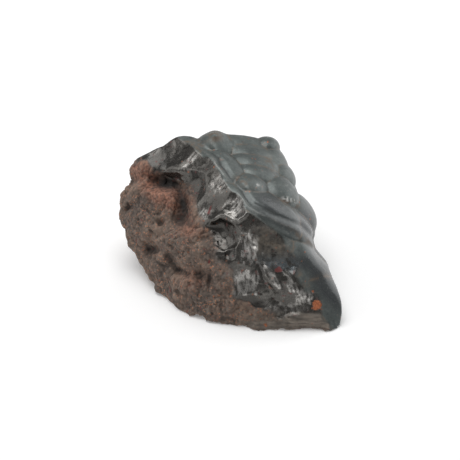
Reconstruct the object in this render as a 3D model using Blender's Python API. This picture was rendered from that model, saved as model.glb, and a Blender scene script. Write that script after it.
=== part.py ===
"""A hematite specimen of the kidney-ore kind: a stone broken off a botryoidal mass.

Its top right, its right end and its back keep the grown skin of overlapping round lobes. Its front and left
are broken open, with scooped glossy fractures, a small cave, pits, cracks and earthy lumps. It is one solid.

Lengths below are in millimetres, and the mesh is made in metres, +Z up, with the stone resting on Z = 0.
"""

from itertools import product
from math import cos, pi, radians, sin, sqrt

import bmesh
import bpy
import numpy as np

MM = 0.001

# The broken face leans back, and most of the stone is laid out as it is seen square on to that face:
# (across, up, out), from a point at MIDDLE_HEIGHT over the surface that the stone rests on.
FACE_LEAN = radians(35)
MIDDLE_HEIGHT = 17.0
ACROSS = np.array((1, 0, 0))
UP = np.array((0, sin(FACE_LEAN), cos(FACE_LEAN)))
OUT = np.array((0, -cos(FACE_LEAN), sin(FACE_LEAN)))

# Corners of the rough block, in face coordinates.
FACE_CORNERS = {
    "tip_foot": (31.4, -26.6, 9.0),
    "foot_right": (16.0, -26.9, 9.4),
    "foot_middle": (0.0, -26.6, 8.0),
    "foot_left": (-11.8, -24.5, 3.5),
    "low_left": (-20.4, -16.4, -4.5),
    "left_belly": (-28.0, -3.6, -11.0),
    "left_end": (-31.6, 4.8, -14.0),
    "left_shoulder": (-28.8, 14.5, -13.0),
    "top_left": (-26.6, 21.0, -12.0),
    "top_facet": (-14.2, 27.4, -10.5),
    "top_saddle": (-9.4, 25.4, -9.5),
    "peak": (-4.3, 27.3, -12.5),
    "ridge_top": (-8.6, 24.0, -4.0),
    "ridge_high": (-1.0, 14.6, 7.0),
    "ridge_middle": (5.5, 6.2, 14.0),
    "ridge_bend": (11.0, 3.0, 13.5),
    "ridge_low": (19.0, 0.0, 8.5),
    "ridge_dip": (24.0, -6.0, 5.5),
    "tip_shoulder": (27.8, -12.8, 5.5),
    "tip_side": (31.2, -20.0, 7.5),
    "face_belly": (2.0, -8.0, 14.0),
    "brown_belly": (-15.0, -3.0, 4.0),
    "brown_top": (-19.0, 12.0, -4.0),
}

# Corners of the hidden side, in the stone's own frame: x, y and height.
BACK_CORNERS = {
    "back_top_right": (12.5, 29.5, 26.6),
    "back_right": (18.2, 21.0, 20.4),
    "right_high": (23.4, 9.6, 15.0),
    "right_low": (26.0, 2.0, 3.0),
    "right_heel": (27.0, -10.0, 0.0),
    "back_right_low": (21.0, 19.0, 5.0),
    "back_low": (9.0, 28.0, 7.0),
    "back_left_low": (-9.0, 30.0, 9.0),
    "back_left_top": (-8.0, 31.0, 24.0),
    "left_back": (-23.0, 25.0, 12.0),
    "left_back_top": (-21.0, 26.0, 22.0),
    "left_heel": (-23.0, 12.0, 2.0),
    "heel_right": (17.0, 13.0, 0.0),
    "heel_back": (-4.0, 21.0, 0.0),
    "heel_left": (-17.0, 8.0, 0.0),
}

# Rounding eats into the block's corners, so its sides first move out by a margin.
EDGE_ROUNDING = 0.3
SKIN_MARGIN = 0.4
BROKEN_MARGIN = 0.9
HIDDEN_MARGIN = 0.8

# The grown skin covers the sides of the block that look this way, and its lobes rise from a bed below them.
SKIN_FACING = np.array((0.62, 0.50, 0.60))
SKIN_SHARE = 0.3
SKIN_BED = 1.3

# Lobes seen from the front: across, up, half length, half width, turn in degrees, and rise over the bed.
LOBES = {
    "behind_peak": (-2.0, 25.0, 7.5, 5.0, 0, 1.8),
    "crown": (6.0, 24.4, 11.0, 5.0, -8, 2.5),
    "crown_side": (13.0, 20.6, 7.2, 6.2, -50, 2.6),
    "first_scale": (7.4, 21.8, 9.5, 4.6, -14, 2.6),
    "second_scale": (8.6, 18.6, 9.0, 4.5, -16, 2.7),
    "third_scale": (9.4, 15.6, 8.4, 4.4, -14, 2.8),
    "front_scale": (6.4, 12.6, 6.0, 4.4, -18, 2.6),
    "ridge_strip": (-1.4, 18.6, 10.0, 4.4, -49, 2.0),
    "rim_small": (16.0, 15.8, 5.2, 5.0, -20, 2.8),
    "knuckle": (15.2, 11.0, 7.8, 6.2, -25, 3.4),
    "long_roll": (13.4, 5.4, 15.0, 6.0, -29, 2.3),
    "long_roll_end": (21.0, 0.6, 9.0, 6.0, -42, 1.9),
    "rim_roll": (21.4, 5.4, 7.6, 5.8, -60, 2.8),
    "tip_skin": (25.4, -9.0, 9.0, 6.0, -50, 1.2),
    "tip_skin_low": (29.0, -17.0, 11.0, 6.0, -70, 1.1),
    "knob": (11.2, 24.6, 4.6, 3.6, -20, 3.8),
}
VISIBLE_LOBE_DEPTH = 9.0

# The ridge between the grown skin and the broken face is a thin raised edge with a groove on its skin side.
RIDGE = (
    (-9.9, 24.8),
    (-7.1, 22.3),
    (-4.3, 19.5),
    (-1.0, 14.4),
    (1.8, 11.1),
    (5.2, 6.3),
    (11.1, 3.2),
    (18.9, 0.1),
    (23.9, -5.2),
)
RIDGE_EDGE_WIDTH = 0.9
RIDGE_EDGE_HEIGHT = 0.45
GROOVE_SHIFT = (1.0, 0.9)
GROOVE_WIDTH = 0.9
GROOVE_DEPTH = 0.5
GROOVE_BACK = -4.0
GROOVE_FADE = 4.0

# A lip that overhangs the hollow under the lower silvery facet.
LIP = ((-4.6, 3.0), (-3.2, 4.0), (-1.6, 4.2), (0.4, 3.0), (2.2, 2.8), (4.0, 4.0), (5.4, 6.2))
LIP_WIDTH = 0.9
LIP_HEIGHT = 0.9

# A waist on the right, between the last roll and the skin of the tip: across, up, half sizes, turn, depth.
WAIST = (26.4, -4.2, 3.8, 3.8, 0, 2.2)
LOBE_FULLNESS = 1.35

# A small sharp peak of the skin beside the ridge: across, up, half sizes, turn, height.
SKIN_PEAK = (-4.3, 27.2, 2.3, 2.0, 0, 2.2)

# Each lobe leans like a roof tile, so that its upper rim covers the lobe above.
LOBE_TILT = 0.3

# Lobes of the hidden skin follow a spiral over the block.
SPIRAL_LOBES = 190
HIDDEN_LOBE_SIZES = (5.0, 7.5)
HIDDEN_LOBE_RISES = (0.9, 1.7)
MOST_HIDDEN_OUTLOOK = -0.1
LOBE_ROUNDING = 0.12
GOLDEN_TURN = pi * (3 - sqrt(5))
HEART = np.array((0.0, 1.0, 15.0))

# Scoops broken out of the face: across, up, half width, half height, turn in degrees, depth, and slopes across and up.
SCOOPS = {
    "top_facet": (-15.8, 21.6, 9.4, 6.0, 20, 0.9, 0.0, 0.0),
    "crest_facet": (-8.8, 19.6, 4.4, 4.4, 0, 0.7, 0.1, 0.0),
    "middle_facet": (-9.9, 12.0, 5.2, 6.8, -15, 1.3, 0.1, 0.0),
    "upper_silver": (-3.0, 12.8, 4.6, 4.0, 0, 0.8, 0.0, -0.1),
    "small_left": (-6.4, 5.4, 3.0, 3.4, 0, 0.8, -0.1, 0.1),
    "lip_silver": (2.1, 6.2, 4.7, 4.6, -20, 0.9, 0.0, -0.1),
    "under_lip": (-2.4, -0.8, 6.4, 4.9, 8, 2.0, 0.0, 0.12),
    "dark_well": (0.0, -5.8, 2.4, 4.6, 5, 1.1, 0.0, 0.0),
    "speckled": (5.6, -4.6, 4.1, 5.4, 0, 0.8, 0.0, -0.1),
    "olive_hollow": (12.8, -2.6, 8.2, 5.9, -12, 1.5, 0.0, 0.0),
    "edge_hollow": (19.6, -3.8, 5.0, 3.4, -30, 0.8, -0.1, 0.0),
    "blue_hollow": (16.2, -8.8, 9.6, 4.2, -12, 1.3, 0.0, -0.06),
    "right_hollow": (23.0, -11.5, 4.6, 4.4, -30, 0.9, -0.1, 0.0),
    "fibre_facet": (3.2, -15.0, 6.0, 6.2, 0, 0.9, 0.05, -0.05),
    "dark_band": (4.6, -20.0, 5.4, 2.6, -5, 0.9, 0.0, 0.1),
    "low_facet": (13.6, -21.0, 7.2, 4.4, 5, 0.9, 0.0, 0.0),
    "under_ochre": (22.6, -17.6, 5.2, 5.4, -30, 0.8, -0.05, 0.0),
}
SCOOP_ROUNDING = 0.15
SCOOP_WAVE = 1.3
SCOOP_WAVE_SIZE = 4.0
FACE_SCOOP_SEATS = 200
FACE_SCOOP_RADII = (4.5, 8.0)
FACE_SCOOP_DEPTHS = (0.3, 0.9)

# Raised forms of the face: across, up, half width, half height, turn in degrees, height.
LUMPS = {
    "red_corner": (-24.8, 18.0, 3.6, 3.2, 0, 1.4),
    "left_bulge": (-25.4, 9.4, 4.6, 4.2, 0, 1.2),
    "plum_bulge": (-25.0, 1.4, 5.2, 4.6, 0, 1.6),
    "cave_tongue": (-17.2, 9.4, 4.8, 2.2, -20, 1.8),
    "cave_sill": (-10.6, 4.6, 1.4, 3.6, 10, 1.0),
    "tan_bulge": (-8.8, -4.8, 5.8, 3.8, -10, 1.2),
    "brown_pillow": (-17.0, -4.2, 4.6, 3.2, 20, 0.9),
    "side_pillow": (-22.4, -10.4, 3.6, 3.0, 30, 0.9),
    "button": (-11.8, -15.0, 2.9, 2.7, 0, 1.2),
    "low_bulge": (-15.6, -17.6, 3.2, 2.2, -35, 0.8),
    "foot_bulge": (-5.4, -21.4, 3.4, 2.6, 0, 0.8),
    "left_rib": (11.3, -13.2, 1.6, 4.6, 36, 1.2),
    "middle_rib": (16.2, -14.6, 1.6, 3.6, 36, 1.1),
    "right_rib": (20.6, -16.8, 1.4, 2.6, 36, 0.7),
    "foot_band": (24.0, -24.6, 7.0, 1.4, -3, 0.7),
}

# Pits and holes: across, up, half width, half height, turn in degrees, depth.
PITS = {
    "cave_roof": (-18.0, 13.4, 4.2, 2.4, -5, 4.2),
    "cave_side": (-13.2, 7.4, 2.0, 4.6, 18, 3.2),
    "cave_low": (-13.8, 2.6, 2.4, 2.6, 0, 2.4),
    "pin_hole": (-19.7, 2.2, 0.8, 0.8, 0, 1.3),
    "black_pit": (-21.7, -5.4, 2.0, 1.4, -10, 2.2),
    "brown_well": (-8.2, -12.4, 2.2, 1.8, -10, 1.6),
    "slot": (-5.6, -13.8, 0.8, 2.0, -6, 1.6),
    "end_slot": (-28.4, 6.4, 0.9, 2.6, -55, 1.2),
    "notch": (-28.4, 13.8, 1.2, 2.0, -60, 1.6),
}

PIT_SMOOTHNESS = 0.9

# Cracks: start, end, half width and depth.
CRACKS = {
    "long_crack": ((7.7, -9.3), (12.3, -19.5), 0.8, 0.6),
    "brown_crack": ((-17.2, -7.1), (-14.2, -11.3), 1.1, 1.3),
    "brown_crack_end": ((-14.2, -11.3), (-11.6, -12.2), 1.0, 0.8),
    "speckled_crack": ((4.0, -1.8), (6.8, -4.2), 0.8, 0.5),
}

# The earthy part of the face lies left of this edge: across and up.
EARTH_EDGE = (
    (-27.0, 19.5),
    (-19.0, 16.0),
    (-12.2, 14.4),
    (-10.5, 8.0),
    (-8.0, 1.3),
    (-3.8, -0.7),
    (-1.0, -11.3),
    (1.0, -19.7),
    (8.8, -22.5),
    (17.2, -24.8),
    (31.0, -25.4),
)
EARTH_FADE = 2.0
EARTH_WAVES = (7.0, 0.5)
EARTH_PILLOWS = (3.4, 0.32)
GLOSSY_SHARE = 0.2
HIDDEN_ROUGHNESS = 0.6

# Scoops of the hidden broken sides and of the underside.
SPIRAL_SCOOPS = 110
HIDDEN_SCOOP_RADII = (6.0, 26.0)
HIDDEN_SCOOP_DEPTHS = (0.5, 2.8)
HIDDEN_SCOOP_WAVE = 1.6
MOST_SCOOPED_OUTLOOK = -0.35

# Meshing: the ball that is wrapped onto the stone, the even faces in between, and the share that is kept.
BALL_STEPS = 6
BALL_REACH = np.array((31, 27, 17))
EVEN_FACE = 0.45
MOST_TRIANGLES = 9400


def from_face(across, up, out):
    """A point of the stone's frame from its face coordinates."""
    return across * ACROSS + up * UP + out * OUT + np.array((0, 0, MIDDLE_HEIGHT))


def to_face(p):
    """How far across and up the face each point lies."""
    q = p - np.array((0, 0, MIDDLE_HEIGHT))
    return q @ ACROSS, q @ UP


def cell_numbers(cells, seed):
    """A repeatable number from 0 to 1 for each whole-number cell."""
    c = cells.astype(np.uint32)
    h = c[..., 0] * np.uint32(374761393) + c[..., 1] * np.uint32(668265263)
    h = h + c[..., 2] * np.uint32(2246822519) + np.uint32(seed * 3266489917 % 2**32)
    h = (h ^ (h >> np.uint32(13))) * np.uint32(1274126177)
    return ((h ^ (h >> np.uint32(16))) & np.uint32(0xFFFF)) / 0xFFFF


def noise(p, size, seed):
    """Smooth noise from -1 to 1 with bumps about size across."""
    q = p / size
    cell = np.floor(q).astype(np.int64)
    t = q - cell
    t = t * t * (3 - 2 * t)
    total = np.zeros(len(p))
    for corner in product((0, 1), repeat=3):
        weight = np.prod(np.where(corner, t, 1 - t), axis=1)
        total += weight * cell_numbers(cell + np.array(corner), seed)
    return 2 * total - 1


def soft_most(values, rounding):
    """The largest of several values, rounded where two of them are nearly the same."""
    top = np.max(values, axis=0)
    return top + rounding * np.log(sum(np.exp((value - top) / rounding) for value in values))


def soft_least(values, rounding):
    """The smallest of several values, rounded where two of them are nearly the same."""
    return -soft_most([-value for value in values], rounding)


def block_planes():
    """Outward normals and offsets of the rough block's faces."""
    corners = [from_face(*c) for c in FACE_CORNERS.values()]
    corners += [np.array(c) for c in BACK_CORNERS.values()]
    bm = bmesh.new()
    for corner in corners:
        bm.verts.new(corner)
    bmesh.ops.convex_hull(bm, input=bm.verts)
    bm.normal_update()
    normals = np.array([f.normal for f in bm.faces])
    offsets = np.array([f.normal.dot(f.verts[0].co) for f in bm.faces])
    bm.free()
    return normals, offsets


NORMALS, OFFSETS = block_planes()
IS_SKIN = NORMALS @ SKIN_FACING > SKIN_SHARE
IS_FRONT = ~IS_SKIN & (NORMALS @ OUT > 0)
IS_REST = ~IS_SKIN & ~IS_FRONT
OFFSETS += SKIN_MARGIN * IS_SKIN + BROKEN_MARGIN * IS_FRONT + HIDDEN_MARGIN * IS_REST


def planes(p, chosen):
    return soft_most(list((p @ NORMALS[chosen].T - OFFSETS[chosen]).T), EDGE_ROUNDING)


def block(p):
    return np.max([planes(p, chosen) for chosen in (IS_SKIN, IS_FRONT, IS_REST)], axis=0)


def oval(across, up, form):
    """Squared distance from the middle of an oval of the face, which is 1 on its outline."""
    middle_across, middle_up, half_width, half_height, turn = form[:5]
    c, s = cos(radians(turn)), sin(radians(turn))
    a, u = across - middle_across, up - middle_up
    return ((a * c + u * s) / half_width) ** 2 + ((u * c - a * s) / half_height) ** 2


def from_line(across, up, start, end):
    """Distance from a straight stretch between two points of the face."""
    along = np.array(end) - np.array(start)
    share = ((across - start[0]) * along[0] + (up - start[1]) * along[1]) / (along @ along)
    share = np.clip(share, 0, 1)
    return np.hypot(across - start[0] - share * along[0], up - start[1] - share * along[1])


def earthiness(across, up):
    """One on the earthy part of the face, and zero on its glossy part."""
    edge_across, edge_up = np.array(EARTH_EDGE[::-1]).T
    inside = np.interp(up, edge_up, edge_across) - across
    return np.clip(0.5 + inside / EARTH_FADE, 0, 1)


def roughness(p):
    """Long waves, and on them small pillows with sharp creases between them."""
    waves = EARTH_WAVES[1] * noise(p, EARTH_WAVES[0], 4)
    return waves + EARTH_PILLOWS[1] * (3 * np.abs(noise(p, EARTH_PILLOWS[0], 9)) - 0.8)


def scoop(across, up, form):
    """Height of one scoop's hollow floor over the flat side that it is broken out of."""
    depth, slope_across, slope_up = form[5:]
    return depth * (oval(across, up, form) - 1) + slope_across * (across - form[0]) + slope_up * (up - form[1])


def from_path(across, up, path):
    """Distance from a path of straight stretches on the face."""
    stretches = zip(path[:-1], path[1:])
    return np.min([from_line(across, up, start, end) for start, end in stretches], axis=0)


def face_relief(p):
    """How far the broken face stands out from the block's flat sides."""
    across, up = to_face(p)
    wavy_across = across + SCOOP_WAVE * noise(p, SCOOP_WAVE_SIZE, 1)
    wavy_up = up + SCOOP_WAVE * noise(p, SCOOP_WAVE_SIZE, 2)
    hollows = [1.5 * scoop(wavy_across, wavy_up, form) for form in SCOOPS.values()]
    wavy = p + (wavy_across - across)[:, None] * ACROSS + (wavy_up - up)[:, None] * UP
    for seat, radius, depth in FACE_SCOOPS:
        hollows.append(depth * (((wavy - seat) ** 2).sum(axis=1) / radius**2 - 1))
    height = soft_least([np.zeros(len(p)), *hollows], SCOOP_ROUNDING)
    height += RIDGE_EDGE_HEIGHT * np.exp(-((from_path(across, up, RIDGE) / RIDGE_EDGE_WIDTH) ** 2))
    height += LIP_HEIGHT * np.exp(-((from_path(across, up, LIP) / LIP_WIDTH) ** 2))
    for form in LUMPS.values():
        height += form[5] * np.exp(-oval(across, up, form) ** 1.5)
    rough_share = GLOSSY_SHARE + (1 - GLOSSY_SHARE) * earthiness(across, up)
    for form in PITS.values():
        hole = np.exp(-oval(across, up, form))
        height -= form[5] * hole
        rough_share = rough_share * (1 - PIT_SMOOTHNESS * hole)
    for start, end, half_width, depth in CRACKS.values():
        height -= depth * np.exp(-((from_line(across, up, start, end) / half_width) ** 2))
    return height + roughness(p) * rough_share


def surface_along(start, direction, reach):
    """The first point from start along direction that lies in the block, or None."""
    points = start + np.linspace(0, reach, 400)[:, None] * direction
    inside = np.flatnonzero(block(points) <= 0)
    return points[inside[0]] if len(inside) else None


def side_frame(p, chosen):
    """Two directions along the chosen side of the block nearest to a point, and that side's outward normal."""
    out = NORMALS[chosen][np.argmax(p @ NORMALS[chosen].T - OFFSETS[chosen])]
    level = np.cross(out, OUT)
    level = level / np.linalg.norm(level)
    return np.array((level, np.cross(out, level), out))


def spiral_seats(count, chosen):
    """Points spread evenly over the chosen sides of the block."""
    for i in range(count):
        height = 1 - 2 * (i + 0.5) / count
        ring = sqrt(1 - height * height)
        direction = np.array((ring * cos(i * GOLDEN_TURN), ring * sin(i * GOLDEN_TURN), height))
        seat = surface_along(HEART + 45 * direction, -direction, 45)
        if planes(seat[None], chosen)[0] > -0.5:
            yield seat


def make_lobes():
    """Each lobe as its middle, three directions as rows, half sizes along them, and its rise over the bed."""
    made = []
    for across, up, half_length, half_width, turn, rise in LOBES.values():
        seat = surface_along(from_face(across, up, 40), -OUT, 80)
        c, s = cos(radians(turn)), sin(radians(turn))
        frame = np.array((c * ACROSS + s * UP, c * UP - s * ACROSS, OUT))
        made.append((seat, frame, np.array((half_length, half_width, VISIBLE_LOBE_DEPTH)), rise))
    rng = np.random.default_rng(7)
    for seat in spiral_seats(SPIRAL_LOBES, IS_SKIN):
        size, shape = rng.uniform(*HIDDEN_LOBE_SIZES), rng.uniform(0.75, 1)
        turn, rise = rng.uniform(0, pi), rng.uniform(*HIDDEN_LOBE_RISES)
        frame = side_frame(seat, IS_SKIN)
        if frame[2] @ OUT < MOST_HIDDEN_OUTLOOK:
            frame[:2] = np.array(((cos(turn), sin(turn)), (-sin(turn), cos(turn)))) @ frame[:2]
            made.append((seat, frame, np.array((size, size * shape, size)), rise))
    return made


def make_face_scoops():
    """Many small scoops over the whole broken face, as middle, radius and depth."""
    rng = np.random.default_rng(5)
    made = []
    for seat in spiral_seats(FACE_SCOOP_SEATS, IS_FRONT):
        made.append((seat, rng.uniform(*FACE_SCOOP_RADII), rng.uniform(*FACE_SCOOP_DEPTHS)))
    return made


def make_hidden_scoops():
    """Round scoops in the sides seen from behind and below, as seat, outward normal, radius and depth."""
    rng = np.random.default_rng(11)
    made = []
    for seat in spiral_seats(SPIRAL_SCOOPS, IS_REST):
        radius, depth = rng.uniform(*HIDDEN_SCOOP_RADII), rng.uniform(*HIDDEN_SCOOP_DEPTHS)
        out = side_frame(seat, IS_REST)[2]
        if out @ OUT < MOST_SCOOPED_OUTLOOK:
            made.append((seat, out, radius, depth))
    return made


LOBE_FORMS = make_lobes()
FACE_SCOOPS = make_face_scoops()
HIDDEN_SCOOPS = make_hidden_scoops()
OFFSETS[IS_SKIN] -= SKIN_BED


def lobe_heights(p):
    """The height of each lobe's surface over the bed."""
    heights = []
    for seat, frame, half_sizes, rise in LOBE_FORMS:
        near = ((p - seat) @ frame.T) / half_sizes
        crown = rise * np.maximum(1 - (near**2).sum(axis=1) ** LOBE_FULLNESS, -1)
        heights.append(crown + LOBE_TILT * np.clip(near[:, 1], -1, 1))
    return heights


def skin_relief(p):
    """How far the grown skin stands out from its bed: the highest of the lobes everywhere."""
    across, up = to_face(p)
    groove = from_path(across - GROOVE_SHIFT[0], up - GROOVE_SHIFT[1], RIDGE) / GROOVE_WIDTH
    in_front = np.clip((p @ OUT - GROOVE_BACK) / GROOVE_FADE, 0, 1)
    cut = GROOVE_DEPTH * in_front * np.exp(-(groove**2)) + WAIST[5] * np.exp(-oval(across, up, WAIST))
    peak = SKIN_PEAK[5] * np.exp(-(oval(across, up, SKIN_PEAK) ** 0.7))
    return soft_most([np.zeros(len(p)), *lobe_heights(p)], LOBE_ROUNDING) + peak - cut


def sides(p):
    """About how far each point lies outside the broken face, the hidden broken sides and the grown skin."""
    front = planes(p, IS_FRONT) - face_relief(p)
    wave = np.stack([noise(p, SCOOP_WAVE_SIZE, seed) for seed in (6, 7, 8)], axis=1)
    wavy = p + HIDDEN_SCOOP_WAVE * wave
    bites = []
    for seat, out, radius, depth in HIDDEN_SCOOPS:
        bites.append(radius - np.linalg.norm(wavy - seat - (radius - depth) * out, axis=1))
    rest = soft_most([planes(p, IS_REST) - HIDDEN_ROUGHNESS * roughness(p), *bites], SCOOP_ROUNDING)
    skin = planes(p, IS_SKIN) - skin_relief(p)
    return front, rest, skin


def stone(p):
    """Above zero outside the stone, below zero in it, and about the distance to its surface."""
    return soft_most(sides(p), EDGE_ROUNDING)


def cast(directions, reach=45.0, steps=90, halvings=10):
    """Where each ray from the stone's heart leaves it for the last time."""
    far = np.full(len(directions), reach)
    near = np.zeros(len(directions))
    outside = np.arange(len(directions))
    for distance in np.linspace(reach, 0, steps):
        value = stone(HEART + distance * directions[outside])
        far[outside[value > 0]] = distance
        near[outside[value <= 0]] = distance
        outside = outside[value > 0]
        if not len(outside):
            break
    for _ in range(halvings):
        middle = (near + far) / 2
        out = stone(HEART + middle[:, None] * directions) > 0
        far = np.where(out, middle, far)
        near = np.where(out, near, middle)
    return HEART + near[:, None] * directions


def settle(p, rounds=5, feel=0.05, longest=0.3):
    """Points that are already near the stone's surface, moved onto it."""
    for _ in range(rounds):
        value = stone(p)
        slope = np.stack([stone(p + feel * axis) - value for axis in np.eye(3)], axis=1) / feel
        step = -value[:, None] * slope / np.maximum((slope**2).sum(axis=1), 0.5)[:, None]
        length = np.linalg.norm(step, axis=1)[:, None]
        p = p + step * np.minimum(1, longest / np.maximum(length, 1e-9))
    return p


def mesh_points(mesh):
    points = np.empty(len(mesh.vertices) * 3)
    mesh.vertices.foreach_get("co", points)
    return points.reshape(-1, 3)


def evaluated(obj):
    return bpy.data.meshes.new_from_object(obj.evaluated_get(bpy.context.evaluated_depsgraph_get()))


def wrapped_ball():
    """A ball of even faces wrapped onto the stone's surface."""
    bpy.ops.mesh.primitive_ico_sphere_add(subdivisions=BALL_STEPS, radius=1)
    ball = bpy.context.object
    spread = mesh_points(ball.data) * BALL_REACH
    directions = spread / np.linalg.norm(spread, axis=1)[:, None]
    ball.data.vertices.foreach_set("co", (cast(directions) * MM).ravel())
    even = ball.modifiers.new("even_faces", "REMESH")
    even.mode = "VOXEL"
    even.voxel_size = EVEN_FACE * MM
    ball.data = evaluated(ball)
    ball.modifiers.clear()
    ball.data.vertices.foreach_set("co", (settle(mesh_points(ball.data) / MM) * MM).ravel())
    ball.data.update()
    return ball


def thinned_out(specimen):
    """The same form with fewer faces, which are smallest where it bends most."""
    fewer = specimen.modifiers.new("fewer_faces", "DECIMATE")
    fewer.ratio = MOST_TRIANGLES / (2 * len(specimen.data.polygons))
    fewer.use_collapse_triangulate = True
    specimen.data = evaluated(specimen)
    specimen.modifiers.clear()


def cut_foot(mesh):
    """Cut the stone off flat where it rests."""
    bm = bmesh.new()
    bm.from_mesh(mesh)
    everything = [*bm.verts, *bm.edges, *bm.faces]
    cut = bmesh.ops.bisect_plane(bm, geom=everything, plane_co=(0, 0, 0), plane_no=(0, 0, -1), clear_outer=True)
    rims = [part for part in cut["geom_cut"] if isinstance(part, bmesh.types.BMEdge)]
    bmesh.ops.triangle_fill(bm, edges=rims, use_beauty=True)
    bmesh.ops.recalc_face_normals(bm, faces=bm.faces)
    bm.to_mesh(mesh)
    bm.free()


def centre(mesh):
    """Put the middle of the stone's box over the origin."""
    points = mesh_points(mesh)
    middle = (points.min(axis=0) + points.max(axis=0)) / 2
    points[:, :2] -= middle[:2]
    mesh.vertices.foreach_set("co", points.ravel())
    mesh.update()


def stone_material():
    material = bpy.data.materials.new("dark_iron_stone")
    material.use_nodes = True
    shader = material.node_tree.nodes["Principled BSDF"]
    shader.inputs["Base Color"].default_value = (0.075, 0.068, 0.062, 1)
    shader.inputs["Metallic"].default_value = 0.4
    shader.inputs["Roughness"].default_value = 0.35
    return material


def main():
    specimen = wrapped_ball()
    specimen.name = "stone"
    specimen.data.name = "stone"
    thinned_out(specimen)
    cut_foot(specimen.data)
    centre(specimen.data)
    specimen.data.materials.clear()
    specimen.data.materials.append(stone_material())
    return specimen


if __name__ == "__main__":
    for old in list(bpy.data.objects):
        bpy.data.objects.remove(old)
    main()
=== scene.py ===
"""The looks of a hematite specimen: its fine surface, its materials, and a plain studio.

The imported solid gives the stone's place, size and form. The same rules that shaped it are followed again
here at a finer step, and the small relief that only shows from close by is added. Lengths are in millimetres
until a mesh is made, and points lie in the stone's first frame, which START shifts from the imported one.
"""

from itertools import product
from math import cos, pi, radians, sin, sqrt

import bmesh
import bpy
import numpy as np
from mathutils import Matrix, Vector


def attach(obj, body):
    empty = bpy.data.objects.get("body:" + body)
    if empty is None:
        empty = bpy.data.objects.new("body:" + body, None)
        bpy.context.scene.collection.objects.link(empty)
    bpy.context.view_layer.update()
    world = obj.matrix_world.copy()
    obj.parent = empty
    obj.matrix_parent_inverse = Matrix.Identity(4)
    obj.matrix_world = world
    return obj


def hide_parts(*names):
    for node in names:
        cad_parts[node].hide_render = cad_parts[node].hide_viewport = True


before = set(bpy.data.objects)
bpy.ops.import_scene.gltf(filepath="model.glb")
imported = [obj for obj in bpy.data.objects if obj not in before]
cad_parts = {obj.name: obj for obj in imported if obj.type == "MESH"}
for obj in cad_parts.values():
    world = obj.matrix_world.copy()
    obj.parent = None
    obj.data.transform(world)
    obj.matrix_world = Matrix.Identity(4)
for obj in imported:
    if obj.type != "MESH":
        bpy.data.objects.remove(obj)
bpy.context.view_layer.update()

MM = 0.001

# The broken face leans back, and most of the stone is laid out as it is seen square on to that face:
# (across, up, out), from a point at MIDDLE_HEIGHT over the surface that the stone rests on.
FACE_LEAN = radians(35)
MIDDLE_HEIGHT = 17.0
ACROSS = np.array((1, 0, 0))
UP = np.array((0, sin(FACE_LEAN), cos(FACE_LEAN)))
OUT = np.array((0, -cos(FACE_LEAN), sin(FACE_LEAN)))

# Corners of the rough block, in face coordinates.
FACE_CORNERS = {
    "tip_foot": (31.4, -26.6, 9.0),
    "foot_right": (16.0, -26.9, 9.4),
    "foot_middle": (0.0, -26.6, 8.0),
    "foot_left": (-11.8, -24.5, 3.5),
    "low_left": (-20.4, -16.4, -4.5),
    "left_belly": (-28.0, -3.6, -11.0),
    "left_end": (-31.6, 4.8, -14.0),
    "left_shoulder": (-28.8, 14.5, -13.0),
    "top_left": (-26.6, 21.0, -12.0),
    "top_facet": (-14.2, 27.4, -10.5),
    "top_saddle": (-9.4, 25.4, -9.5),
    "peak": (-4.3, 27.3, -12.5),
    "ridge_top": (-8.6, 24.0, -4.0),
    "ridge_high": (-1.0, 14.6, 7.0),
    "ridge_middle": (5.5, 6.2, 14.0),
    "ridge_bend": (11.0, 3.0, 13.5),
    "ridge_low": (19.0, 0.0, 8.5),
    "ridge_dip": (24.0, -6.0, 5.5),
    "tip_shoulder": (27.8, -12.8, 5.5),
    "tip_side": (31.2, -20.0, 7.5),
    "face_belly": (2.0, -8.0, 14.0),
    "brown_belly": (-15.0, -3.0, 4.0),
    "brown_top": (-19.0, 12.0, -4.0),
}

# Corners of the hidden side, in the stone's own frame: x, y and height.
BACK_CORNERS = {
    "back_top_right": (12.5, 29.5, 26.6),
    "back_right": (18.2, 21.0, 20.4),
    "right_high": (23.4, 9.6, 15.0),
    "right_low": (26.0, 2.0, 3.0),
    "right_heel": (27.0, -10.0, 0.0),
    "back_right_low": (21.0, 19.0, 5.0),
    "back_low": (9.0, 28.0, 7.0),
    "back_left_low": (-9.0, 30.0, 9.0),
    "back_left_top": (-8.0, 31.0, 24.0),
    "left_back": (-23.0, 25.0, 12.0),
    "left_back_top": (-21.0, 26.0, 22.0),
    "left_heel": (-23.0, 12.0, 2.0),
    "heel_right": (17.0, 13.0, 0.0),
    "heel_back": (-4.0, 21.0, 0.0),
    "heel_left": (-17.0, 8.0, 0.0),
}

# Rounding eats into the block's corners, so its sides first move out by a margin.
EDGE_ROUNDING = 0.3
SKIN_MARGIN = 0.4
BROKEN_MARGIN = 0.9
HIDDEN_MARGIN = 0.8

# The grown skin covers the sides of the block that look this way, and its lobes rise from a bed below them.
SKIN_FACING = np.array((0.62, 0.50, 0.60))
SKIN_SHARE = 0.3
SKIN_BED = 1.3

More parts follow.
